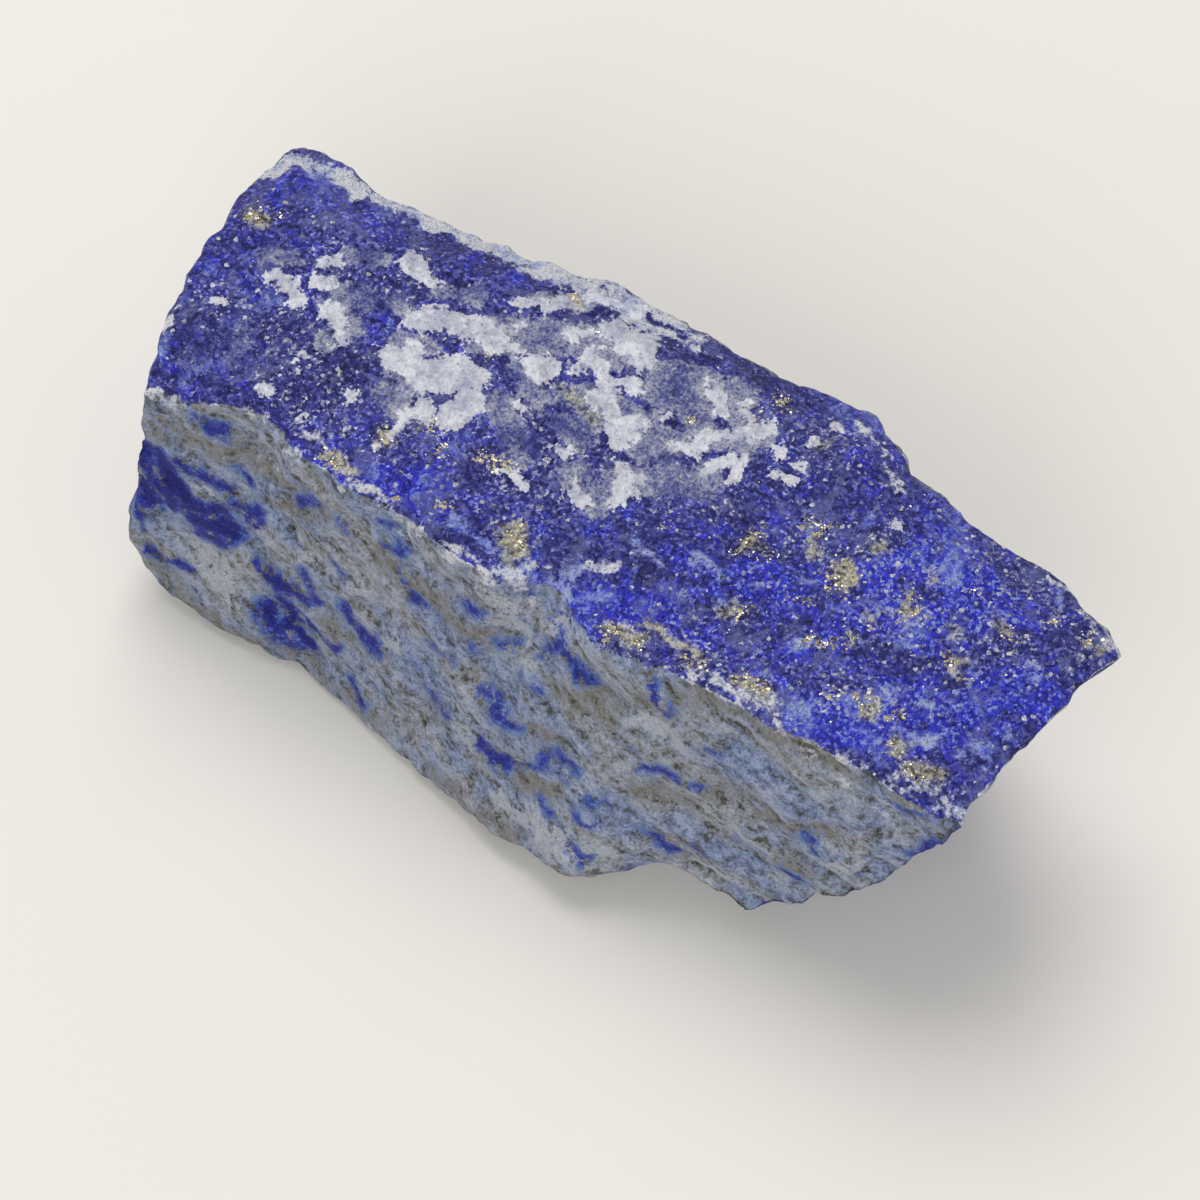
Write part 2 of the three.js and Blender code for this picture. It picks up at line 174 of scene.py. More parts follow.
# Where the blue is darkest
DEEP = [
    (0.5, -3.3, 3.4, -2.0, 0.53), (4.3, -0.0, 6.6, 1.3, 0.53), (6.2, -2.1, 9.9, -0.6, 0.53),
    (-4.6, -2.3, -2.8, -1.5, 0.53), (-16.0, -2.3, -11.9, -1.8, 1.51), (-18.7, -3.5, -16.8, -3.9, 0.83),
    (-10.2, 7.1, -9.2, 7.1, 0.45), (1.7, 8.4, 3.8, 8.2, 0.60), (12.0, 0.2, 13.4, 0.8, 0.53),
    (-6.5, -5.6, -3.7, -5.5, 0.53), (16.6, 3.5, 19.2, 4.4, 0.60),
]

# Patches on the front, given in the same way by x and z
FRONT_BLUE = [
    (-17.6, 8.9, -17.4, 5.5, 0.46), (-17, 9.1, -16.5, 7.4, 0.55), (-16.2, 9.1, -15.6, 8.6, 0.37),
    (-16.4, 7.5, -15.8, 6.7, 0.55), (-16.9, 7.1, -16.4, 6.4, 0.65), (-15.6, 8.6, -14.5, 8.4, 0.32),
    (-14.5, 8.3, -13.9, 8.3, 0.28), (-15.7, 6.4, -13.8, 7.1, 0.46), (-15.2, 5.9, -13.8, 6.1, 0.65),
    (-14.8, 5.1, -13.7, 5.3, 0.37), (-15.9, 6.4, -15.5, 5.7, 0.37), (-13.4, 7.7, -12.6, 7.7, 0.37),
    (-13, 7.2, -12.2, 7.2, 0.32), (-17.8, 5.5, -17.7, 3.5, 0.28), (-17.7, 2.6, -16.7, 2.8, 0.32),
    (-16.7, 2.6, -14.9, 2.9, 0.32), (-12, 5.3, -11.6, 4.9, 0.29), (-11.5, 4.9, -10.6, 4.6, 0.50),
    (-10.6, 4.6, -9.7, 4.7, 0.42), (-11.1, 3.6, -10.3, 2.9, 0.50), (-11.8, 2.5, -10.7, 2.2, 0.42),
    (-10.5, 2.4, -9.5, 1.8, 0.50), (-11.2, 1.6, -9.9, 1.4, 0.29), (-12.2, 2.4, -11.8, 2.1, 0.21),
    (-7.7, 6, -7.1, 5.3, 0.33), (-7.1, 5.3, -6, 5.1, 0.37), (-6.2, 5.1, -5.6, 5.1, 0.21),
    (-9.6, 3.2, -8, 3.2, 0.33), (-10, 6.4, -9.1, 5.2, 0.29), (-7, 1.9, -6.3, 1.4, 0.33),
    (-8.7, 7.9, -7.9, 7.6, 0.21), (-3.7, 5.7, -2.6, 4.8, 0.25), (-5.3, 10, -4.2, 9, 0.25),
    (-6.2, 10.7, -5.3, 11.2, 0.26), (-1.5, 8.9, -1, 8.4, 0.21), (-0.3, 4.5, 1.3, 4.4, 0.37),
    (1.9, 4.7, 2.9, 5.9, 0.21), (0.3, 6.7, 1.4, 6.4, 0.28), (-0.5, 6.9, 0.5, 6.8, 0.25),
    (2.4, 10.6, 3.8, 10.4, 0.34), (1.5, 10.1, 2.1, 11.1, 0.25), (6.1, 11.7, 7.2, 10.8, 0.28),
    (6.7, 7.6, 7.5, 8, 0.25), (7.8, 7.8, 9.1, 7.9, 0.25), (7.6, 4.3, 8.8, 3.6, 0.28),
    (9.3, 4.2, 10, 4, 0.18), (5.3, 5.4, 6, 5.1, 0.19), (5, 2.9, 5.9, 2.5, 0.21),
    (16.9, 11.2, 18.1, 11.3, 0.18), (11.3, 5.7, 12, 5.6, 0.21), (12.9, 4.9, 13.7, 4.4, 0.21),
    (-3.3, 7.7, -1.9, 7.6, 0.21), (-10.7, 10, -9.4, 10.7, 0.25), (-15.1, 11.7, -14.3, 11.4, 0.28),
    (-13.6, 9.4, -13.1, 9, 0.23), (-2, 10.7, -1.4, 10.7, 0.19), (5.6, 8.3, 6.5, 8.2, 0.19),
    (8.8, 10, 9.6, 9.8, 0.18), (0.1, 12.5, 0.3, 11.6, 0.19), (-2.4, 4.9, -1.7, 4.9, 0.19),
    (3.3, 6.3, 4.1, 5.8, 0.25), (3.2, 4, 3.8, 4, 0.19), (4.9, 4.6, 5.7, 4.2, 0.19),
    (13.5, 8.2, 14.2, 7.3, 0.16), (0.9, 8.4, 1.8, 8.4, 0.16), (-6.5, 11.9, -5.7, 11.8, 0.21),
    (-4.2, 9, -3.2, 9, 0.16), (-0.4, 9.4, 0.5, 9.5, 0.16), (-8.4, 10.4, -7.7, 10.2, 0.21),
    (17.9, 9.2, 19.2, 11.4, 0.34),
]
FRONT_EARTH = [
    (3.9, 9.9, 5.1, 9.2, 0.60), (5.9, 10.5, 8.2, 11.7, 0.30), (2.6, 8.8, 4.4, 9.6, 0.38),
    (7.7, 12.6, 12.1, 12.1, 0.34), (11.7, 12, 13.8, 12, 0.34), (13.3, 11.9, 15, 11.9, 0.26),
    (2.1, 4.1, 4, 5.1, 0.38), (7, 6.5, 8.8, 6.5, 0.38), (9.2, 7.7, 11.6, 8.6, 0.30),
    (11.6, 7.8, 14.5, 8.4, 0.30), (-16.9, 10.9, -15.3, 10.4, 0.34), (-15.3, 10.4, -11.6, 10.3, 0.38),
    (-11.6, 10.3, -8.9, 10.5, 0.34), (-6.4, 9.6, -3.1, 10.1, 0.38), (-3.2, 9.4, -0.4, 9.4, 0.38),
    (-8.5, 4.4, -7.4, 4, 0.23), (-2.9, 4.3, -1.9, 4.8, 0.23), (1.4, 6.8, 3.2, 6.7, 0.30),
    (12.9, 5.5, 13.7, 5.4, 0.30), (16.7, 12.3, 17.7, 11.9, 0.30), (-17.6, 2.1, -16.2, 1.3, 0.26),
    (-16.1, 1.2, -14.6, 0.8, 0.30), (-14.7, 0.9, -13.5, 0.7, 0.26), (-13.3, 0.8, -9.9, 1, 0.19),
    (-9.9, 1, -7.6, 0.8, 0.19), (-7.6, 0.8, -5.1, 1.2, 0.19), (-16.2, 1.7, -15.6, 1.6, 0.23),
    (-2.2, 1.1, 0.1, 1.6, 0.26), (0.1, 1.6, 2.8, 1.5, 0.23), (-17.2, 10.4, -16.5, 10, 0.23),
    (-15.1, 9.9, -13.6, 9.7, 0.26), (-11.4, 9.1, -9.4, 10, 0.30), (-14, 11.1, -12.9, 10.5, 0.23),
]
FRONT_PALE = [
    (-14.9, 3.9, -14, 3.3, 0.38), (-14, 3.4, -13.3, 2.4, 0.38), (-15.2, 4, -14.6, 3.9, 0.23),
    (-15.6, 7.8, -14.6, 7.8, 0.19), (-15, 7.7, -14.2, 7.7, 0.15), (-13.7, 4.4, -13.1, 3.3, 0.23),
    (-9.7, 7.4, -8.8, 7.5, 0.26), (-7.9, 7.4, -7, 7.6, 0.23), (-5.9, 5.4, -4.6, 6.1, 0.23),
    (-2, 5.2, -0.7, 5.9, 0.23), (-1.3, 4.7, -0.6, 4.2, 0.23), (3.8, 2.6, 6.1, 2.9, 0.45),
    (1.4, 2.5, 4.5, 3.4, 0.38), (4, 5.7, 5, 5.7, 0.23), (9.3, 7, 9.9, 6.4, 0.26),
    (8.9, 7.5, 9.3, 7, 0.23), (-0.5, 10.5, 1.3, 9.9, 0.30), (-1.5, 11.9, -0.2, 11.2, 0.30),
    (6.2, 9.7, 8, 9.7, 0.30), (14.4, 6.5, 15.7, 7.3, 0.26), (9.7, 3.3, 11.4, 3.1, 0.23),
    (1.7, 11.5, 3, 11.8, 0.23), (16, 11, 16.3, 10.7, 0.19),
]
FRONT_SKY = [
    (9.6, 10, 13, 9.9, 0.60), (13.1, 9.4, 15.7, 9.5, 0.60), (6.2, 9.6, 8.4, 9.7, 0.49),
    (4.4, 12.4, 7.3, 12.3, 0.38), (1, 2.8, 4.5, 3.4, 0.53), (9.6, 5, 12, 4.8, 0.45),
    (-4.6, 6.1, -2.4, 5.6, 0.38), (1.3, 11.9, 3.8, 12.4, 0.30), (-11.3, 12.6, -7.9, 12.9, 0.34),
    (-13.3, 12.8, -11.3, 12.2, 0.30),
]

# The stone's attributes. Most tell how far inside a kind of patch a place lies, in millimetres
FIELDS = (
    "granular", "ends", "edge", "height", "grainy", "tint", "calcite", "milky", "pale_rim", "pyrite",
    "earthy", "pale_blue", "layer_blue", "layer_earth", "layer_pale", "layer_sky",
)

# Seed of the vector noise, which differs from run to run where none is set
PATCH_SEED = 1

# The foliation runs down to the right on the front, this far below the level
FOLIATION_DIP = math.radians(24)

# Pyrite crystals in the smallest cluster, more for each square millimetre of it, and lone specks
CLUSTER_LEAST = 14
CLUSTER_PER_AREA = 170
SPECKS_ON_TOP = 700
SPECKS_ON_SIDE = 90

# Photograph's viewing angle in degrees, and the point of the resting plane at the picture's middle
CAMERA_AZIMUTH = 36
CAMERA_ELEVATION = 58
CAMERA_DISTANCE = 171.8 * MM
CAMERA_AIM = Vector((-1.8, 2.5, 0.0)) * MM
CAMERA_LENS = 123.0

STUDIO_STRENGTH = 0.43


def linear(hex_colour):
    """An sRGB hex colour as linear red, green and blue."""
    shares = [int(hex_colour[i : i + 2], 16) / 255 for i in (0, 2, 4)]
    return tuple(s / 12.92 if s <= 0.04045 else ((s + 0.055) / 1.055) ** 2.4 for s in shares)


def rgba(colour):
    """A colour with full alpha, as a socket takes it."""
    return (*colour, 1.0)


def colour_property(name, hex_colour, description):
    """A colour that the user can change."""
    return bpy.props.FloatVectorProperty(
        name=name, subtype="COLOR", size=3, min=0, max=1,
        default=linear(hex_colour), description=description,
    )


def length_property(name, millimetres, description):
    """A length that the user can change."""
    return bpy.props.FloatProperty(
        name=name, unit="LENGTH", min=0, default=millimetres * MM, description=description,
    )


class LapisSizes(bpy.types.PropertyGroup):
    """Sizes of the rock's texture and of the floor"""

    grain: length_property("Grain", 0.14, "Width of one lazurite grain on the top")
    foliation: length_property("Foliation", 0.32, "Thickness of one thin layer on the foliated sides")
    ledge: length_property("Ledge", 0.95, "Spacing of the small ledges on the foliated sides")
    relief: length_property("Relief", 0.10, "Height of the fine broken relief")
    crystal: length_property("Pyrite crystal", 0.058, "Edge of a typical pyrite crystal")
    floor: length_property("Floor", 1600, "Width of the floor")


class LapisColours(bpy.types.PropertyGroup):
    """Colours of the rock, the pyrite and the stage"""

    deep: colour_property("Deep blue", "12124c", "Shaded lazurite grains")
    ultramarine: colour_property("Ultramarine", "272874", "Most lazurite grains")
    bright: colour_property("Bright blue", "3a3d8c", "Clear, lit lazurite grains")
    pale: colour_property("Pale blue", "585ca6", "Pale grains and mottles")
    cloudy: colour_property("Cloudy calcite", "979ab6", "Greyer calcite and the palest blue grains")
    vivid_deep: colour_property("Vivid deep blue", "12125e", "Shaded grains of the purest blue")
    vivid: colour_property("Vivid blue", "2022a0", "Grains of the purest blue")
    electric: colour_property("Electric blue", "3238d8", "Clear grains of the purest blue")
    sky: colour_property("Sky blue", "8796d8", "Pale blue wisps and worn blue")
    dusk: colour_property("Dusky blue", "484d8e", "Dark blue seen through clear calcite")
    milky: colour_property("Milky blue", "7076a8", "Blue seen through cloudy calcite")
    calcite: colour_property("Calcite", "b7b8c5", "White calcite")
    # Brightest calcite, also used for the painted sparkles and the brightest painted highlight on edges
    snow: colour_property("Brightest calcite", "dedee4", "Clean, crushed calcite")
    # Pale crushed blue; on sharp edges and rims it is also a painted highlight
    worn_and_highlight: colour_property("Worn edge", "aeb8d6", "Pale crushed blue along the edges")
    umber: colour_property("Dark matrix", "4a4843", "Dark grey-brown matrix round the pyrite")
    earthy: colour_property("Earthy", "8b8982", "Grey-brown matrix")
    ash: colour_property("Pale matrix", "c9c7be", "Pale grey-brown matrix")
    shade: colour_property("Layer shade", "585a5e", "Dark lines between the layers")
    slate: colour_property("Slate", "9b9fac", "Foliated grey-blue layers")
    slate_blue: colour_property("Bluer slate", "8396bd", "Bluer zones of the foliated sides")
    chalk: colour_property("Chalky layers", "bec2cc", "Pale layers of the foliated sides")
    layer_deep: colour_property("Deep blue layers", "20247c", "Darkest blue on the foliated sides")
    layer_blue: colour_property("Blue layers", "303ba6", "Blue patches on the foliated sides")
    layer_bright: colour_property("Bright blue layers", "627dbe", "Light edges of those blue patches")
    brass: colour_property("Brass", "d8cfb0", "Clean pyrite")
    tarnish: colour_property("Tarnish", "857a60", "Tarnished pyrite")
    floor: colour_property("Floor", "e8e4dc", "Matte paper floor")
    studio: colour_property("Studio", "f2f4f8", "Even light from all round")


def add_node(tree, kind, inputs=(), out=None, stops=(), **settings):
    """Adds a node with its settings and gives back one of its outputs, the first in use or out.

    inputs holds a value or an output for each input in use, in order or by name. stops holds the
    places and colours of a ramp."""
    new = tree.nodes.new(kind)
    for name, value in settings.items():
        setattr(new, name, value)
    if isinstance(inputs, dict):
        pairs = [(new.inputs[name], value) for name, value in inputs.items()]
    else:
        pairs = zip([socket for socket in new.inputs if socket.enabled], inputs)
    for socket, value in pairs:
        if isinstance(value, bpy.types.NodeSocket):
            tree.links.new(value, socket)
        else:
            socket.default_value = value
    for i, (place, colour) in enumerate(stops):
        elements = new.color_ramp.elements
        stop = elements[i] if i < 2 else elements.new(place)
        stop.position = place
        stop.color = rgba(colour)
    if out:
        return new.outputs[out]
    return next((socket for socket in new.outputs if socket.enabled), None)


def add_piece(scene, name, bm, material):
    """The finished bmesh as an object at the origin."""
    mesh = bpy.data.meshes.new(name)
    bm.to_mesh(mesh)
    bm.free()
    mesh.materials.append(material)
    piece = bpy.data.objects.new(name, mesh)
    scene.collection.objects.link(piece)
    return piece


def smooth_step(x, low, high):
    """0 below low, 1 above high, and a smooth rise between them."""
    t = np.clip((x - low) / (high - low), 0, 1)
    return t * t * (3 - 2 * t)


def spot_field(a, b, spots, stray, spacing):
    """How far inside the nearest spot each point (a, b) lies, in millimetres, and less than 0 outside.
    Noise moves each point by up to stray, so that no spot is round."""
    field = np.full(len(a), -1.0)
    moved = [noise.noise_vector(Vector((x, y, 7.1)) / spacing) for x, y in zip(a, b)]
    fine = [noise.noise_vector(Vector((x, y, 3.3)) / (0.3 * spacing)) for x, y in zip(a, b)]
    shift = stray * (np.array(moved) + 0.4 * np.array(fine))
    a, b = a + shift[:, 0], b + shift[:, 1]
    for x0, y0, x1, y1, half_width in spots:
        run = np.array((x1 - x0, y1 - y0))
        length2 = max(run @ run, 1e-9)
        along = np.clip(((a - x0) * run[0] + (b - y0) * run[1]) / length2, 0, 1)
        away = np.hypot(a - x0 - along * run[0], b - y0 - along * run[1])
        field = np.maximum(field, half_width - away)
    return field


def noise_at(points, spacing, seed):
    """Noise from about -1 to 1 whose features are spacing wide. spacing may differ by axis."""
    scale = np.broadcast_to(np.asarray(spacing, float), (3,))
    moved = points / scale + seed
    return np.array([noise.noise(Vector(p)) for p in moved])


def along_foliation(points):
    """Points turned so that x runs down the foliation and z across it."""
    c, s = math.cos(FOLIATION_DIP), math.sin(FOLIATION_DIP)
    x, y, z = points.T
    return np.column_stack((c * x - s * z, y, s * x + c * z))


def fine_stone_mesh():
    """The solid's mesh, merged and parted finely enough to carry grain and thin ledges."""
    bm = bmesh.new()
    bm.from_mesh(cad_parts[NODE].data)
    bmesh.ops.remove_doubles(bm, verts=bm.verts, dist=0.001 * MM)
    bmesh.ops.subdivide_edges(bm, edges=bm.edges, cuts=3, use_grid_fill=True)
    bmesh.ops.triangulate(bm, faces=bm.faces)
    above = [v for v in bm.verts if v.co.z > 0.02 * MM]
    for _ in range(2):
        bmesh.ops.smooth_vert(
            bm, verts=above, factor=0.5, use_axis_x=True, use_axis_y=True, use_axis_z=True,
        )
    bm.normal_update()
    return bm


def broad_lean(bm, normals):
    """The way that the surface faces on the whole round each point, and how sharp its edge is there."""
    edges = np.array([[e.verts[0].index, e.verts[1].index] for e in bm.edges])
    counts = np.bincount(edges.ravel(), minlength=len(normals))
    lean = normals
    for _ in range(6):
        total = lean.copy()
        np.add.at(total, edges[:, 0], lean[edges[:, 1]])
        np.add.at(total, edges[:, 1], lean[edges[:, 0]])
        lean = total / (counts + 1)[:, None]
    length = np.linalg.norm(lean, axis=1)
    return lean / length[:, None], smooth_step(1 - length, 0.04, 0.25)


def patch_fields(points, lean):
    """How far inside each kind of patch the points lie."""
    x, y, z = points.T
    fields = {}
    on_top = smooth_step(lean[:, 2], 0.2, 0.5)
    for name, spots, stray, spacing in (
        ("calcite", CALCITE, 0.25, 0.9), ("milky", MILKY, 0.35, 1.6), ("pyrite", PYRITE, 0.25, 0.6),
        ("earthy", EARTHY, 0.45, 0.8), ("pale_blue", PALE_BLUE, 0.5, 0.8),
    ):
        fields[name] = spot_field(x, y, spots, stray, spacing) * on_top - (1 - on_top)
    over_edge = smooth_step(lean[:, 2], 0.05, 0.35)
    fields["pale_rim"] = spot_field(x, y, PALE_RIM, 0.3, 1.0) * over_edge - (1 - over_edge)
    fields["grainy"] = smooth_step(spot_field(x, y, GRAINY, 0.6, 1.5), -0.7, 0.4)
    vivid, deep = [smooth_step(spot_field(x, y, spots, 0.5, 1.2), -0.5, 0.3) for spots in (VIVID, DEEP)]
    fields["tint"] = vivid - deep

    # Out of the photograph's sight the sides' patches are strewn by noise instead
    front = smooth_step(-lean[:, 1], 0.1, 0.4)
    along = along_foliation(points)
    for name, spots, seed, cover in (
        ("layer_blue", FRONT_BLUE, 21.0, 0.28), ("layer_earth", FRONT_EARTH, 22.0, 0.22),
        ("layer_pale", FRONT_PALE, 23.0, 0.22), ("layer_sky", FRONT_SKY, 24.0, 0.14),
    ):
        coarse = noise_at(along, (3.0, 3.0, 1.1), seed)
        strewn = coarse + 0.6 * noise_at(along, (1.0, 1.2, 0.5), seed + 9) - cover
        fields[name] = spot_field(x, z, spots, 0.40, 0.9) * front + strewn * (1 - front)
    return fields


def relief_height(points, sizes, fields, top, sharpness):
    """How far the points stand out of the solid, in millimetres."""
    grain, layer, ledge_spacing, relief = [
        size / MM for size in (sizes.grain, sizes.foliation, sizes.ledge, sizes.relief)
    ]
    # The granular top: lumps, grains and slightly proud, smoother calcite
    lumps = 0.55 * noise_at(points, 5 * grain, 1.0) + 0.45 * np.abs(noise_at(points, 2.2 * grain, 2.0))
    calcite = smooth_step(fields["calcite"], -0.05, 0.12)
    earthy = smooth_step(fields["earthy"], 0, 0.2)
    granular = relief * ((1 - 0.45 * calcite) * lumps + 0.55 * calcite - 0.35 * earthy)

    # The foliated sides: low ledges in places, short streaks along the layers, and grains
    along = along_foliation(points)
    across = along[:, 2] + 0.15 * noise_at(along, (1.5, 4.0, 1.0), 8.0)
    phase = across / ledge_spacing
    tooth = phase - np.floor(phase)
    ledge = np.minimum(tooth / 0.8, (1 - tooth) / 0.2) - 0.5
    ledges_here = smooth_step(noise_at(along, (2.5, 6.0, 1.2), 9.0), 0.05, 0.35)
    streaks = noise_at(along, (3 * layer, 8 * layer, layer), 3.0)
    layered = relief * (1.3 * ledge * ledges_here + 0.8 * streaks + 0.8 * noise_at(points, 0.45, 4.0))

    # The ends, broken across the layers, and nicks in every edge
    broken = relief * (0.9 * noise_at(points, 1.5, 6.0) + 0.6 * np.abs(noise_at(points, 0.5, 7.0)))
    ends = fields["ends"]
    height = top * granular + (1 - top) * (1 - ends) * layered + (1 - top) * ends * broken
    nicks = np.clip(noise_at(points, 0.8, 11.0) + 0.1, 0, 1)
    height -= 2.2 * relief * sharpness * nicks
    return height * smooth_step(points[:, 2], 0.0, 0.5)


class LAPIS_OT_stone(bpy.types.Operator):
    """Makes the rock with its fine relief and its colours"""

    bl_idname = "lapis.stone"
    bl_label = "Lapis stone"

    def execute(self, context):
        sizes = context.scene.lapis_sizes
        noise.seed_set(PATCH_SEED)
        bm = fine_stone_mesh()
        points = np.array([v.co for v in bm.verts]) / MM
        normals = np.array([v.normal for v in bm.verts])
        lean, sharpness = broad_lean(bm, normals)

        # How far a place belongs to the granular top, and below 0 to a foliated side. Low down only
        # flatter places belong to it, so that the small ledges of the sides stay foliated
        low = smooth_step(-points[:, 2], -11.5, -9.5)
        topness = lean[:, 2] - 0.85 * np.abs(lean[:, 1]) - 0.12 - 0.4 * low
        wander = 0.10 * noise_at(points, 1.4, 5.0)
        top = smooth_step(topness + wander, -0.10, 0.10)
        ends = smooth_step(np.abs(lean[:, 0]) + wander, 0.60, 0.85)
        # edge: how sharp the surface bends near the border of the top, where the material paints a pale
        # highlight
        edge = sharpness * np.exp(-((topness + 0.05) / 0.35) ** 2)

        fields = {"granular": topness, "ends": ends, "edge": edge, **patch_fields(points, lean)}
        height = relief_height(points, sizes, fields, top, sharpness)
        # height: the relief's height against its usual size, which the material uses to paint shade into
        # the hollows and light onto the crests
        fields["height"] = 0.7 * height / (sizes.relief / MM)
        moved = points + normals * height[:, None]
        moved[:, 2] = np.maximum(moved[:, 2], 0)
        for v, place in zip(bm.verts, moved):
            v.co = Vector(place) * MM

        stone = add_piece(context.scene, STONE, bm, lapis_material(context.scene))
        stone.data.shade_smooth()
        for name in FIELDS:
            attribute = stone.data.attributes.new(name, "FLOAT", "POINT")
            attribute.data.foreach_set("value", np.clip(fields[name], -1, 1).astype(np.float32))
        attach(stone, BODY)
        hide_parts(NODE)
        return {"FINISHED"}


def lapis_material(scene):
    """Natural broken lapis lazuli: sugary blue grains with white calcite and brassy pyrite on the
    top, and dull, streaked grey-blue layers on the sides. Each grain tilts its own way, so that
    some of them catch the light."""
    sizes, colours = scene.lapis_sizes, scene.lapis_colours
    material = bpy.data.materials.new("rough lapis lazuli, broken")
    material.use_nodes = True
    tree = material.node_tree
    shader = tree.nodes["Principled BSDF"]
    add = functools.partial(add_node, tree)
    field = {name: add("ShaderNodeAttribute", attribute_name=name, out="Fac") for name in FIELDS}

    # Places in millimetres, and the same drawn out along the layers of the foliation
    place = add("ShaderNodeTexCoord", out="Object")
    mm = add("ShaderNodeVectorMath", [place, 1 / MM], operation="SCALE")
    layer = sizes.foliation / MM
    drawn = add(
        "ShaderNodeMapping",
        {"Vector": mm, "Rotation": (0, FOLIATION_DIP, 0), "Scale": (2.6 * layer, 8 * layer, layer)},
        vector_type="TEXTURE",
    )
    # Noises by their features in a millimetre, or in a layer's thickness where they are drawn out:
    # crumbs of some grains, mottles of a millimetre, and veils and clouds of a few
    grain = sizes.grain / MM
    noise_inputs = ("Vector", "Scale", "Detail", "Roughness", "Distortion")
    fine, speckle, mottle, veil, cloud, streak, band, zone = [
        add("ShaderNodeTexNoise", dict(zip(noise_inputs, values)))
        for values in (
            (mm, 1 / grain, 2, 0.60, 0), (mm, 3.0, 3, 0.70, 0), (mm, 0.95, 5, 0.66, 0),
            (mm, 0.60, 5, 0.64, 0.3), (mm, 0.28, 3, 0.50, 0), (drawn, 1.4, 4, 0.62, 0),
            (drawn, 0.50, 5, 0.62, 0), (drawn, 0.26, 4, 0.50, 0),
        )
    ]
    # Grains: each has its own tone and chance, taken from the cell's random colour
    cell = add("ShaderNodeTexVoronoi", {"Vector": mm, "Scale": 1 / grain}, out="Color")
    tone, chance = [add("ShaderNodeSeparateColor", [cell], out=name) for name in ("Red", "Green")]

    # Weighted sums of the noises. The first five move the borders of the patches, by that many
    # millimetres, and the others choose the colours
    total = {}
    for name, start, terms in (
        ("granular", -0.62, ((speckle, 1.1), (chance, 0.15))),
        ("crumbly", -1.22, ((mottle, 1.4), (speckle, 0.9), (fine, 0.2))),
        ("broken", -1.42, ((mottle, 1.6), (speckle, 1.1), (chance, 0.15))),
        ("ragged", -2.30, ((band, 1.1), (mottle, 1.2), (speckle, 1.9), (fine, 0.4))),
        ("streaky", -2.30, ((band, 1.8), (streak, 1.2), (speckle, 1.2), (fine, 0.4))),
        # level also takes in the relief's height: painted shade in the hollows and painted light on the
        # crests
        ("level", 0.0, (
            (mottle, 0.7), (speckle, 1.1), (fine, 0.9), (tone, 0.75), (cloud, 0.3),
            (field["tint"], 0.12), (field["height"], 0.15), (field["grainy"], 0.07),
        )),
        ("purity", -1.42, (
            (field["tint"], 0.25), (cloud, 0.5), (mottle, 1.2), (speckle, 1.1), (chance, 0.2),
        )),
        ("white", 0.0, (
            (speckle, 1.0), (fine, 0.9), (chance, 0.4), (field["grainy"], 0.10),
            (field["calcite"], 0.10),
        )),
        ("haze", -0.34, (
            (mottle, 0.6), (veil, 0.3), (speckle, 0.9), (fine, 0.75), (field["calcite"], 0.30),
        )),
        ("crystal", 0.0, ((mottle, 0.75), (speckle, 0.5), (fine, 0.15))),
        ("flaw", 0.0, ((fine, 1.0), (chance, 0.35))),
        # tier also takes in the relief's height: painted shade in the hollows and painted light on the
        # crests
        ("tier", 0.0, (
            (band, 0.5), (streak, 0.5), (mottle, 0.3), (speckle, 1.1), (fine, 0.6),
            (field["height"], 0.25),
        )),
        ("fleck", 0.0, ((band, 0.5), (mottle, 0.6), (speckle, 0.9), (fine, 0.3))),
        ("layer_tone", 0.0, ((speckle, 0.9), (streak, 0.3), (fine, 0.4), (field["layer_blue"], -0.60))),
    ):
        value = start
        for source, weight in terms:
            value = add("ShaderNodeMath", [source, weight, value], operation="MULTIPLY_ADD")
        total[name] = value

    # How much of each patch shows: the field with its border moved, from 0 at low to 1 at high
    share = {}
    for name, border, low, high in (
        ("granular", "granular", -0.05, 0.05), ("edge", "broken", 0.52, 0.76),
        ("calcite", "crumbly", -0.01, 0.07), ("milky", "crumbly", -0.14, 0.12),
        ("pale_rim", "crumbly", 0.05, 0.30), ("earthy", "granular", -0.15, 0.35),
        ("pale_blue", "granular", -0.12, 0.25), ("pyrite", "granular", -0.05, 0.15),
        ("layer_blue", "ragged", -0.17, 0.17), ("layer_earth", "ragged", -0.25, 0.25),
        ("layer_pale", "streaky", -0.25, 0.30), ("layer_sky", "streaky", -0.50, 0.50),
    ):
        moved = add("ShaderNodeMath", [field[name], total[border]], operation="ADD")
        share[name] = add("ShaderNodeMapRange", [moved, low, high], interpolation_type="SMOOTHSTEP")

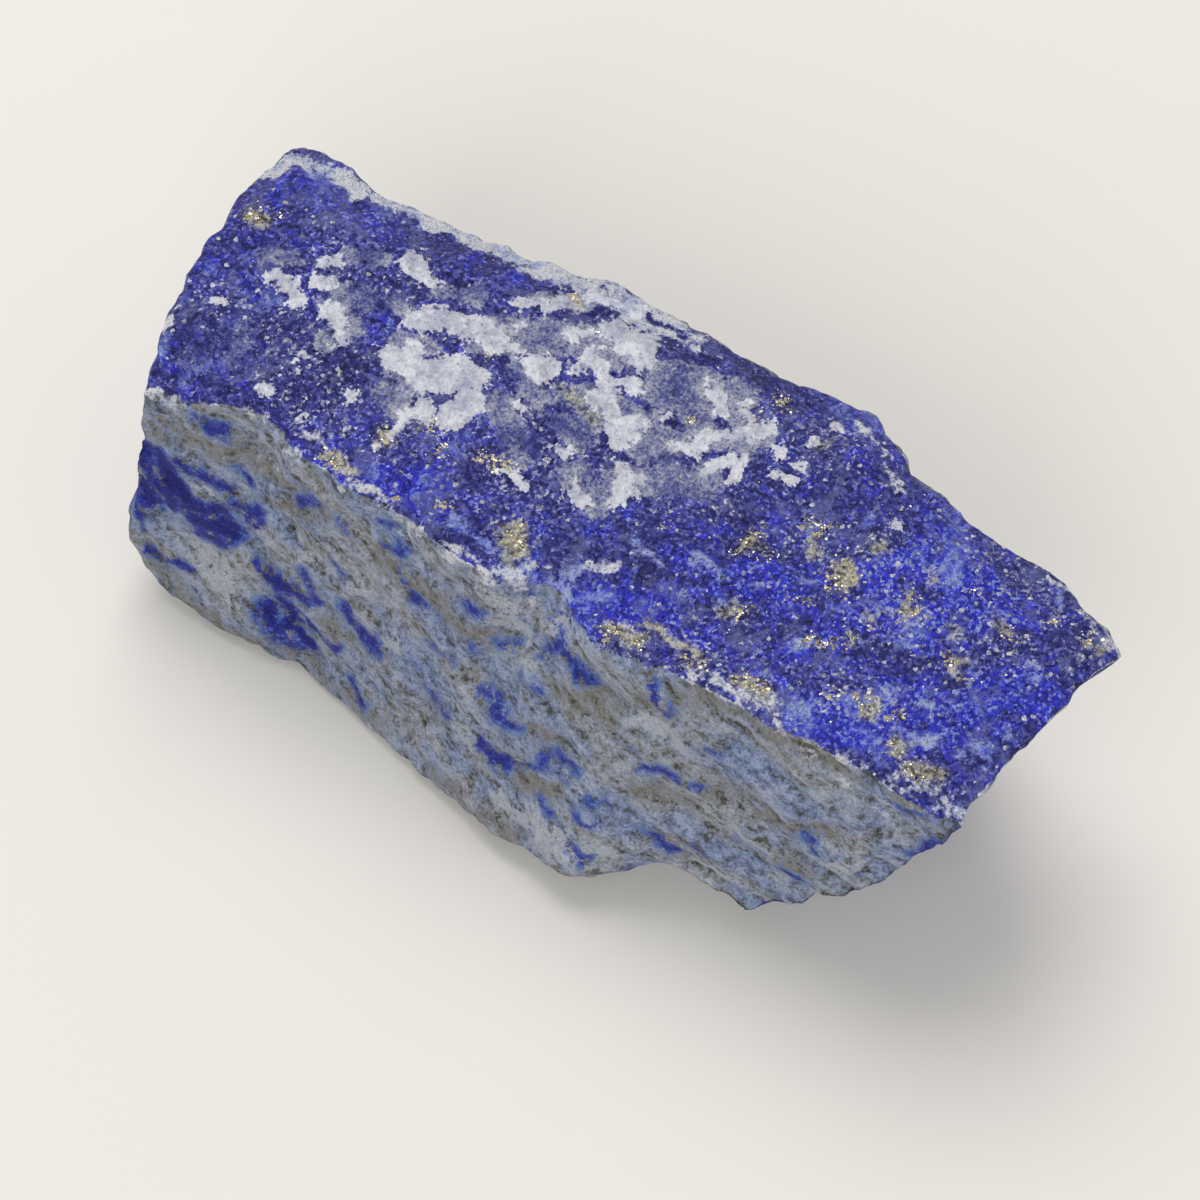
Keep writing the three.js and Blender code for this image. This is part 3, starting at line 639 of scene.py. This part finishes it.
    # Colours by value: blue grains and purer ones, the clear and cloudy parts of the calcite, the
    # pale rim with its painted highlight and the matrix on the top, and the layers of the sides with
    # their browner, bluer and blue parts
    level, tier, layer_tone = [
        add("ShaderNodeMapRange", [total[name], low, high])
        for name, low, high in (("level", 1.30, 2.45), ("tier", 1.14, 1.72), ("layer_tone", 0.46, 1.02))
    ]
    paint = {}
    for name, value, stops in (
        ("blue", level, (
            (0.05, "deep"), (0.34, "ultramarine"), (0.52, "bright"), (0.72, "pale"), (1.0, "cloudy"),
        )),
        ("vivid", level, ((0.05, "vivid_deep"), (0.38, "vivid"), (0.74, "electric"), (1.0, "sky"))),
        ("wisps", total["crystal"], ((0.58, "electric"), (0.70, "sky"), (0.84, "worn_and_highlight"))),
        ("calcite", total["crystal"], ((0.52, "cloudy"), (0.66, "calcite"), (0.82, "snow"))),
        ("milky", total["haze"], ((0.58, "dusk"), (0.72, "milky"), (0.86, "cloudy"), (1.0, "calcite"))),
        ("rim", total["crystal"], ((0.50, "sky"), (0.62, "worn_and_highlight"), (0.76, "snow"))),
        ("matrix", level, ((0.10, "umber"), (0.42, "earthy"), (0.80, "ash"))),
        ("layers", tier, (
            (0.0, "umber"), (0.14, "shade"), (0.36, "earthy"), (0.54, "slate"), (1.0, "chalk"),
        )),
        ("browner", tier, ((0.0, "umber"), (0.55, "earthy"), (1.0, "slate"))),
        ("bluer", tier, ((0.0, "umber"), (0.20, "shade"), (0.60, "slate_blue"), (1.0, "worn_and_highlight"))),
        ("layer_blue", layer_tone, (
            (0.14, "layer_deep"), (0.46, "layer_blue"), (0.76, "layer_bright"), (1.0, "slate_blue"),
        )),
    ):
        ramp = [(at, getattr(colours, colour)) for at, colour in stops]
        paint[name] = add("ShaderNodeValToRGB", [value], stops=ramp)

    # The granular blue: mottled, purer in places, with sky blue wisps, white grains that are partly
    # calcite and partly painted sparkle, and single grains painted near white as sparkles
    purity = add("ShaderNodeMapRange", [total["purity"], 0.0, 0.34], interpolation_type="SMOOTHSTEP")
    wispy = add("ShaderNodeMath", [cloud, veil], operation="SUBTRACT")
    wispy = add("ShaderNodeMapRange", [wispy, 0.14, 0.26, 0.0, 0.5])
    veiled = add("ShaderNodeMapRange", [veil, 0.54, 0.62, 0.0, 0.5], interpolation_type="SMOOTHSTEP")
    # White grains: partly calcite specks, partly painted sparkle
    white = add("ShaderNodeMapRange", [total["white"], 1.38, 1.48])
    white_grain_and_sparkle = add("ShaderNodeMix", [tone, rgba(colours.cloudy), rgba(colours.snow)], data_type="RGBA")
    # Painted sparkle: a few single grains, more where the blue is coarse, painted near white as if they
    # caught the light
    painted_sparkle = add("ShaderNodeMath", [field["grainy"], 0.03, chance], operation="MULTIPLY_ADD")
    painted_sparkle = add("ShaderNodeMath", [painted_sparkle, 0.988], operation="GREATER_THAN")
    blue = paint["blue"]
    for factor, over in (
        (purity, paint["vivid"]), (wispy, paint["wisps"]), (veiled, rgba(colours.milky)),
        (white, white_grain_and_sparkle), (painted_sparkle, white_grain_and_sparkle),
    ):
        blue = add("ShaderNodeMix", [factor, blue, over], data_type="RGBA")

    # Calcite: fine white sugar with a few blue grains in it, and cloudy blue where it is clear
    flaw = add("ShaderNodeMapRange", [total["flaw"], 0.86, 0.96, 0.0, 0.6])
    calcite = add("ShaderNodeMix", [flaw, paint["calcite"], rgba(colours.milky)], data_type="RGBA")
    top = blue
    for name, over in (
        ("pale_blue", paint["wisps"]), ("milky", paint["milky"]), ("earthy", paint["matrix"]),
        ("calcite", calcite),
    ):
        top = add("ShaderNodeMix", [share[name], top, over], data_type="RGBA")

    # The foliated sides: soft streaks, bluer and browner zones, and flecks drawn out along them
    bluish = add("ShaderNodeMapRange", [zone, 0.40, 0.62, 0.0, 0.9], interpolation_type="SMOOTHSTEP")
    bluish = add(
        "ShaderNodeMath", [share["layer_sky"], 0.75, bluish], operation="MULTIPLY_ADD", use_clamp=True,
    )
    fleck = add(
        "ShaderNodeMapRange", [total["fleck"], 1.28, 1.46, 0.0, 0.8], interpolation_type="SMOOTHSTEP",
    )
    layers = paint["layers"]
    for factor, over in (
        (bluish, paint["bluer"]), (share["layer_pale"], rgba(colours.chalk)),
        (share["layer_earth"], paint["browner"]), (fleck, paint["layer_blue"]),
        (share["layer_blue"], paint["layer_blue"]),
    ):
        layers = add("ShaderNodeMix", [factor, layers, over], data_type="RGBA")

    # All together: blue shows in the broken ends too, sharp edges and rims are pale, partly as worn
    # stone and partly as painted highlight, and grains are brassy
    # Pale along sharp edges and the rim spots: partly worn stone, partly painted highlight
    worn_and_highlight = add("ShaderNodeMath", [share["edge"], share["pale_rim"]], operation="MAXIMUM")
    brassy = add("ShaderNodeMath", [chance, 0.72], operation="GREATER_THAN")
    brassy = add("ShaderNodeMath", [brassy, share["pyrite"]], operation="MULTIPLY")
    colour = layers
    for factor, over in (
        (field["ends"], blue), (share["granular"], top), (worn_and_highlight, paint["rim"]),
        (brassy, rgba(colours.brass)),
    ):
        colour = add("ShaderNodeMix", [factor, colour, over], data_type="RGBA")
    clean = add("ShaderNodeMapRange", [tone, 0.86, 0.90, 0.45, 0.16])
    gloss = add("ShaderNodeMix", [share["granular"], 0.65, clean], data_type="FLOAT")

    # Each grain's own tilt, and bumps no higher than the grains and the thin layers
    tilt = add("ShaderNodeVectorMath", [cell, (0.5, 0.5, 0.5)], operation="SUBTRACT")
    tilt_size = add("ShaderNodeMapRange", [share["granular"], 0.0, 1.0, 0.35, 0.9])
    smooth = add("ShaderNodeMapRange", [share["calcite"], 0.0, 1.0, 1.0, 0.6])
    tilt_size = add("ShaderNodeMath", [tilt_size, smooth], operation="MULTIPLY")
    tilt = add("ShaderNodeVectorMath", [tilt, tilt_size], operation="SCALE")
    facing = add("ShaderNodeNewGeometry", out="Normal")
    facing = add("ShaderNodeVectorMath", [facing, tilt], operation="ADD")
    facing = add("ShaderNodeVectorMath", [facing], operation="NORMALIZE")
    crumbs = add("ShaderNodeMath", [speckle, 0.9, mottle], operation="MULTIPLY_ADD")
    streaks = add("ShaderNodeMath", [speckle, 0.9, streak], operation="MULTIPLY_ADD")
    height = add("ShaderNodeMix", [share["granular"], streaks, crumbs], data_type="FLOAT")
    bump = add("ShaderNodeBump", {
        "Height": height, "Strength": smooth, "Distance": 0.50 * MM, "Normal": facing,
    })
    for name, value in (
        ("Base Color", colour), ("Metallic", brassy), ("Roughness", gloss), ("Normal", bump),
    ):
        tree.links.new(value, shader.inputs[name])
    shader.inputs["IOR"].default_value = 1.5
    shader.inputs["Specular IOR Level"].default_value = 0.35
    return material


def pyrite_material(scene):
    """Natural pyrite crystals: bright brassy metal faces, some of them tarnished brown."""
    colours = scene.lapis_colours
    material = bpy.data.materials.new("pyrite, natural crystals")
    material.use_nodes = True
    tree = material.node_tree
    shader = tree.nodes["Principled BSDF"]
    add = functools.partial(add_node, tree)
    place = add("ShaderNodeTexCoord", out="Object")
    mm = add("ShaderNodeVectorMath", [place, 1 / MM], operation="SCALE")
    tarnish = add("ShaderNodeTexNoise", {"Vector": mm, "Scale": 3, "Detail": 1})
    colour = add("ShaderNodeValToRGB", [tarnish], stops=[(0.35, colours.tarnish), (0.50, colours.brass)])
    tree.links.new(colour, shader.inputs["Base Color"])
    shader.inputs["Metallic"].default_value = 1.0
    shader.inputs["Roughness"].default_value = 0.38
    return material


class LAPIS_OT_pyrite(bpy.types.Operator):
    """Scatters small pyrite crystals over the stone, thickly at their clusters"""

    bl_idname = "lapis.pyrite"
    bl_label = "Pyrite crystals"

    def execute(self, context):
        rng = random.Random(11)
        stone = bmesh.new()
        stone.from_mesh(bpy.data.objects[STONE].data)
        surface = BVHTree.FromBMesh(stone)

        # Each crystal's ray towards the stone, in millimetres, and its size beside a typical one
        places = []
        for x0, y0, x1, y1, half_width in PYRITE:
            area = half_width * (math.hypot(x1 - x0, y1 - y0) + half_width)
            for _ in range(round(CLUSTER_LEAST + CLUSTER_PER_AREA * area)):
                share = rng.random()
                x = x0 + share * (x1 - x0) + rng.gauss(0, half_width)
                y = y0 + share * (y1 - y0) + rng.gauss(0, half_width)
                places.append((Vector((x, y, 30)), Vector((0, 0, -1)), 1.0))
        # Lone specks: thicker towards the right on the top, and thin on the sides
        for _ in range(SPECKS_ON_TOP):
            x = rng.triangular(-19, 19, 14)
            places.append((Vector((x, rng.uniform(-7, 9), 30)), Vector((0, 0, -1)), 0.55))
        for toward in (-1, 1):
            for _ in range(SPECKS_ON_SIDE):
                start = Vector((rng.uniform(-19, 19), -30 * toward, rng.uniform(1, 12)))
                places.append((start, Vector((0, toward, 0)), 0.5))

        edge = context.scene.lapis_sizes.crystal
        bm = bmesh.new()
        for start, ray, scale in places:
            hit, normal, _, _ = surface.ray_cast(start * MM, ray)
            if hit is None or hit.z < 1 * MM:
                continue
            size = edge * scale * rng.lognormvariate(0, 0.35)
            angle = rng.uniform(0, math.tau)
            axis = Vector((rng.gauss(0, 1), rng.gauss(0, 1), rng.gauss(0, 1)))
            stretch = Matrix.Diagonal((size, size * rng.uniform(0.6, 1), size * rng.uniform(0.5, 1), 1))
            seat = Matrix.Translation(hit - 0.1 * size * normal)
            bmesh.ops.create_cube(bm, size=1, matrix=seat @ Matrix.Rotation(angle, 4, axis) @ stretch)
        stone.free()
        crystals = add_piece(context.scene, "pyrite_crystals", bm, pyrite_material(context.scene))
        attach(crystals, BODY)
        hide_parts(NODE)
        return {"FINISHED"}


def paper_material(scene):
    """Matte white paper: pale, even and dull, so that only the stone's soft shadow shows on it."""
    material = bpy.data.materials.new("matte white paper")
    material.use_nodes = True
    shader = material.node_tree.nodes["Principled BSDF"]
    shader.inputs["Base Color"].default_value = rgba(scene.lapis_colours.floor)
    shader.inputs["Roughness"].default_value = 0.9
    return material


def set_up(scene, name, data, azimuth, elevation, distance, aim=Vector()):
    """Adds a camera or a light that faces aim. Its side is in degrees round from the front."""
    azimuth, elevation = math.radians(azimuth), math.radians(elevation)
    back = Vector((
        math.sin(azimuth) * math.cos(elevation),
        -math.cos(azimuth) * math.cos(elevation),
        math.sin(elevation),
    ))
    thing = bpy.data.objects.new(name, data)
    thing.location = aim + back * distance
    thing.rotation_mode = "QUATERNION"
    thing.rotation_quaternion = back.to_track_quat("Z", "Y")
    scene.collection.objects.link(thing)
    return thing


class LAPIS_OT_stage(bpy.types.Operator):
    """Makes the floor, the soft studio light and the camera"""

    bl_idname = "lapis.stage"
    bl_label = "Stage"

    def execute(self, context):
        scene = context.scene
        bm = bmesh.new()
        bmesh.ops.create_grid(bm, x_segments=1, y_segments=1, size=scene.lapis_sizes.floor / 2)
        floor = add_piece(scene, "floor", bm, paper_material(scene))

        world = bpy.data.worlds.new("soft studio")
        world.use_nodes = True
        background = world.node_tree.nodes["Background"]
        background.inputs["Color"].default_value = rgba(scene.lapis_colours.studio)
        background.inputs["Strength"].default_value = STUDIO_STRENGTH
        scene.world = world
        scene.view_settings.view_transform = "Standard"

        # Square soft boxes: the key stands behind the stone, and the fill near the camera
        for name, turn, elevation, distance, width, watts in (
            ("key", 190, 62, 0.45, 0.30, 1.2), ("fill", -20, 35, 0.5, 0.35, 1.1),
        ):
            box = bpy.data.lights.new(name, "AREA")
            box.size = width
            box.energy = watts
            set_up(scene, name, box, CAMERA_AZIMUTH + turn, elevation, distance)

        camera = bpy.data.cameras.new("camera")
        camera.lens = CAMERA_LENS
        camera.clip_start = MM
        scene.camera = set_up(
            scene, "camera", camera, CAMERA_AZIMUTH, CAMERA_ELEVATION, CAMERA_DISTANCE, CAMERA_AIM,
        )
        return {"FINISHED"}


class LAPIS_PT_panel(bpy.types.Panel):
    """Lists the makers of the pieces and the stage"""

    bl_idname = "LAPIS_PT_panel"
    bl_label = "Lapis"
    bl_space_type = "VIEW_3D"
    bl_region_type = "UI"
    bl_category = "Lapis"

    def draw(self, context):
        for operator in OPERATORS:
            self.layout.operator(operator.bl_idname)


OPERATORS = (LAPIS_OT_stone, LAPIS_OT_pyrite, LAPIS_OT_stage)
CLASSES = (LapisSizes, LapisColours, *OPERATORS, LAPIS_PT_panel)


def register():
    for made_class in CLASSES:
        bpy.utils.register_class(made_class)
    bpy.types.Scene.lapis_sizes = bpy.props.PointerProperty(type=LapisSizes)
    bpy.types.Scene.lapis_colours = bpy.props.PointerProperty(type=LapisColours)


def unregister():
    del bpy.types.Scene.lapis_colours
    del bpy.types.Scene.lapis_sizes
    for made_class in reversed(CLASSES):
        bpy.utils.unregister_class(made_class)


def main():
    register()
    bpy.ops.lapis.stone()
    bpy.ops.lapis.pyrite()
    bpy.ops.lapis.stage()


if __name__ == "__main__":
    main()
